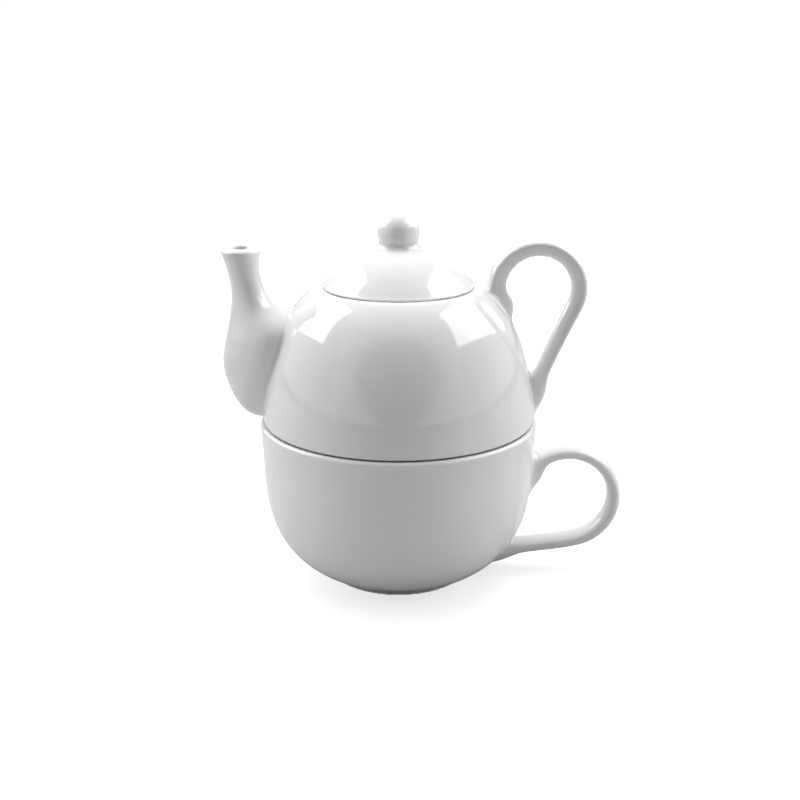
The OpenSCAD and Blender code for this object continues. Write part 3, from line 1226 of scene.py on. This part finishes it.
    def build(self) -> bpy.types.Object:
        """Builds and dresses the lid.

        Returns:
            The finished lid.
        """
        profile = self.profile()
        outline = bpy.data.meshes.new("lid_profile")
        outline.from_pydata([(r * MM, 0.0, z * MM) for r, z in profile], [], [])
        blank = add_object("lid_blank", outline)
        tree = self._lathe()
        modifier = blank.modifiers.new("lathe", "NODES")
        modifier.node_group = tree
        offset = self.radius / 2
        inputs = {
            "Steps around": self.around,
            "Profile points": len(profile),
            "Vent diameter": self.vent * MM,
            "Vent place": (0.0, offset * MM, (self.dome(offset) - self.wall / 2) * MM),
            "Glaze": material_of(Finish.GLAZED),
        }
        for item in tree.interface.items_tree:
            if item.in_out == "INPUT" and item.name in inputs:
                modifier[item.identifier] = inputs[item.name]
        bpy.context.view_layer.update()
        view = bpy.context.evaluated_depsgraph_get()
        mesh = bpy.data.meshes.new_from_object(blank.evaluated_get(view))
        mesh.name = "porcelain_lid"
        bpy.data.objects.remove(blank)
        self._face_out(mesh)
        mesh.set_sharp_from_angle(angle=math.radians(self.sharp_from))
        return add_object("porcelain_lid", mesh)

    @staticmethod
    def _face_out(mesh: bpy.types.Mesh) -> None:
        """Turns the faces outwards if the turned sheet came out inside out.

        Args:
            mesh: The lid's mesh, which is changed.
        """
        mesh.polygons.foreach_set("use_smooth", np.ones(len(mesh.polygons), bool))
        mesh.calc_loop_triangles()
        corners = ([mesh.vertices[i].co for i in triangle.vertices] for triangle in mesh.loop_triangles)
        if sum(a.dot(b.cross(c)) for a, b, c in corners) < 0:
            mesh.flip_normals()


@dataclass(frozen=True)
class Softbox:
    """A lit rectangle that the glaze may mirror; places are in metres, and power is in watts."""

    name: str
    place: Place
    power: float
    size: Pair = (0.6, 0.6)
    target: Place = (0.0, 0.0, 0.08)
    roll: float = 0.0
    mirrored: bool = True
    mirrored_share: float = 0.4

    def build(self) -> None:
        """Adds one lamp for its image in the glaze if the box is mirrored, and one for its light, dimmer when
        there is an image.
        """
        if self.mirrored:
            self._lamp(f"{self.name}_image", self.power, image=True)
        share = self.mirrored_share if self.mirrored else 1.0
        self._lamp(f"{self.name}_light", self.power * share, image=False)

    def _lamp(self, name: str, power: float, image: bool) -> None:
        """Adds a lamp that faces the target.

        Args:
            name: The lamp's name.
            power: Its power in watts.
            image: Whether only the glaze's mirror image shows it, and not its light.
        """
        lamp = bpy.data.lights.new(name, "AREA")
        lamp.shape = "RECTANGLE"
        lamp.size, lamp.size_y = self.size
        lamp.energy = power
        holder = add_object(name, lamp)
        holder.location = self.place
        aim = Vector(self.target) - Vector(self.place)
        turn = Quaternion((0.0, 0.0, 1.0), math.radians(self.roll))
        holder.rotation_euler = (aim.to_track_quat("-Z", "Y") @ turn).to_euler()
        holder.visible_glossy = image
        holder.visible_diffuse = not image
        holder.visible_camera = False


@dataclass
class Studio:
    """The white table, the lamps and the camera."""

    camera_place: Place = (0.0006, -0.495, 0.2263)
    camera_pitch: float = 17.12
    lens: float = 57.06
    floor_size: float = 6.0
    flag_place: Place = (0.0, -0.62, 0.425)
    flag_width: float = 0.5
    flag_height: float = 0.36
    ambient: float = 0.3
    shadow_near: float = 0.06
    shadow_far: float = 0.35
    shadow_glow: float = 0.7

    def build(self) -> None:
        """Builds the stage."""
        self._camera()
        self._world()
        self._floor()
        self._flag()
        for box in (
            Softbox("softbox_left", (-0.85, 0.634, 0.892), 28.0, (1.3, 1.1), (0.0, 0.634, 0.892), 13.6),
            Softbox("softbox_right", (0.85, 0.358, 0.973), 26.5, (1.3, 1.1), (0.0, 0.358, 0.973), -18.0),
            Softbox("softbox_top", (0.0, 0.4, 1.2), 16.0, (1.5, 0.8), (0.0, 0.4, 0.0), mirrored=False),
            Softbox("side_left", (-1.0, 0.12, 0.35), 3.6, mirrored=False),
            Softbox("side_right", (1.0, 0.12, 0.35), 3.6, mirrored=False),
            Softbox("fill", (0.0, -0.25, 1.2), 1.0, mirrored=False),
        ):
            box.build()

    def _flag(self) -> None:
        """Round grey card behind the camera, which the front of the glaze mirrors as a dim disc."""
        count = 96
        turns = [2 * math.pi * i / count for i in range(count)]
        ring = [(self.flag_width * math.cos(a), 0.0, self.flag_height * math.sin(a)) for a in turns]
        mesh = bpy.data.meshes.new("flag")
        mesh.from_pydata(ring, [], [tuple(range(count))])
        flag = add_object("flag", mesh)
        flag.location = self.flag_place
        flag.visible_camera = False
        material, tree = blank_material("grey_card")
        look = {"Base Color": linear("#3C3C3C"), "Roughness": 1.0}
        shader = add_node(tree, "ShaderNodeBsdfPrincipled", look)
        add_node(tree, "ShaderNodeOutputMaterial", {"Surface": shader["BSDF"]})
        mesh.materials.append(material)

    def _camera(self) -> None:
        """Camera where the photo was taken from."""
        data = bpy.data.cameras.new("camera")
        data.sensor_width = 36.0
        data.lens = self.lens
        camera = add_object("camera", data)
        camera.location = self.camera_place
        camera.rotation_euler = (math.radians(90 - self.camera_pitch), 0.0, 0.0)
        bpy.context.scene.camera = camera

    def _world(self) -> None:
        """White to the camera and in reflections, and a soft even light on the object."""
        world = bpy.data.worlds.new("studio")
        world.use_nodes = True
        bpy.context.scene.world = world
        tree = world.node_tree
        tree.nodes.clear()
        path = add_node(tree, "ShaderNodeLightPath")
        rays = {0: path["Is Camera Ray"], 1: path["Is Glossy Ray"]}
        seen = add_node(tree, "ShaderNodeMath", rays, operation="MAXIMUM")[0]
        strength = add_node(tree, "ShaderNodeMix", {0: seen, 2: self.ambient, 3: 1.0}, data_type="FLOAT")
        white = {"Color": (1.0, 1.0, 1.0, 1.0), "Strength": strength[0]}
        back = add_node(tree, "ShaderNodeBackground", white)
        add_node(tree, "ShaderNodeOutputWorld", {"Surface": back[0]})

    def _floor(self) -> None:
        """White table top that keeps a soft shadow of the object."""
        half = self.floor_size / 2
        mesh = bpy.data.meshes.new("table_top")
        corners = [(-half, -half, 0), (half, -half, 0), (half, half, 0), (-half, half, 0)]
        mesh.from_pydata(corners, [], [(0, 1, 2, 3)])
        floor = add_object("table_top", mesh)
        material, tree = blank_material("matt_white_board")
        camera_ray = add_node(tree, "ShaderNodeLightPath")["Is Camera Ray"]
        board = add_node(tree, "ShaderNodeBsdfDiffuse", {"Color": linear("#BDBDBD")})
        place = add_node(tree, "ShaderNodeTexCoord")["Object"]
        away = add_node(tree, "ShaderNodeVectorMath", {0: place}, operation="LENGTH")["Value"]
        # To the camera the board glows white, and less near the object, where its shadow shows
        near, far = {1: self.shadow_near, 3: self.shadow_glow}, {2: self.shadow_far, 4: 1.0}
        white = add_node(tree, "ShaderNodeMapRange", {"Value": away, **near, **far})
        strength = add_node(tree, "ShaderNodeMath", {0: camera_ray, 1: white[0]}, operation="MULTIPLY")[0]
        glow = add_node(tree, "ShaderNodeEmission", {"Strength": strength})
        both = add_node(tree, "ShaderNodeAddShader", {0: board[0], 1: glow[0]})
        add_node(tree, "ShaderNodeOutputMaterial", {"Surface": both[0]})
        mesh.materials.append(material)


def main() -> None:
    """Builds the pieces in order and sets them in the studio."""
    logging.basicConfig(level=logging.INFO, format="%(name)s: %(message)s")
    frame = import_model()
    LOG.info("nodes: %s", ", ".join(sorted(frame["nodes"])))
    coarse = 1.0
    cup_low, cup_high = frame_box("cup")
    lid_low, lid_high = frame_box("lid")
    cup = Cup(height=cup_high[2], cell=CUP_CELL * coarse)
    lid = Lid(low=lid_low[2], radius=-lid_low[0], top=lid_high[2])
    # The lid hangs a gap clear of its seat, which is sunk into the mouth
    mouth = lid_low[2] + lid.flange_depth - Teapot.gap + Teapot.seat_sink
    teapot = Teapot(rim=cup_high[2], mouth=mouth, cell=TEAPOT_CELL * coarse)
    for maker, node in ((cup, "cup"), (teapot, "teapot"), (lid, "lid")):
        piece = maker.build()
        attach(piece, "root")
        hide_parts(node)
        LOG.info("%s stands for %s, with %d faces", piece.name, node, len(piece.data.polygons))
    Studio().build()
    bpy.context.scene.view_settings.view_transform = "Standard"


if __name__ == "__main__":
    main()
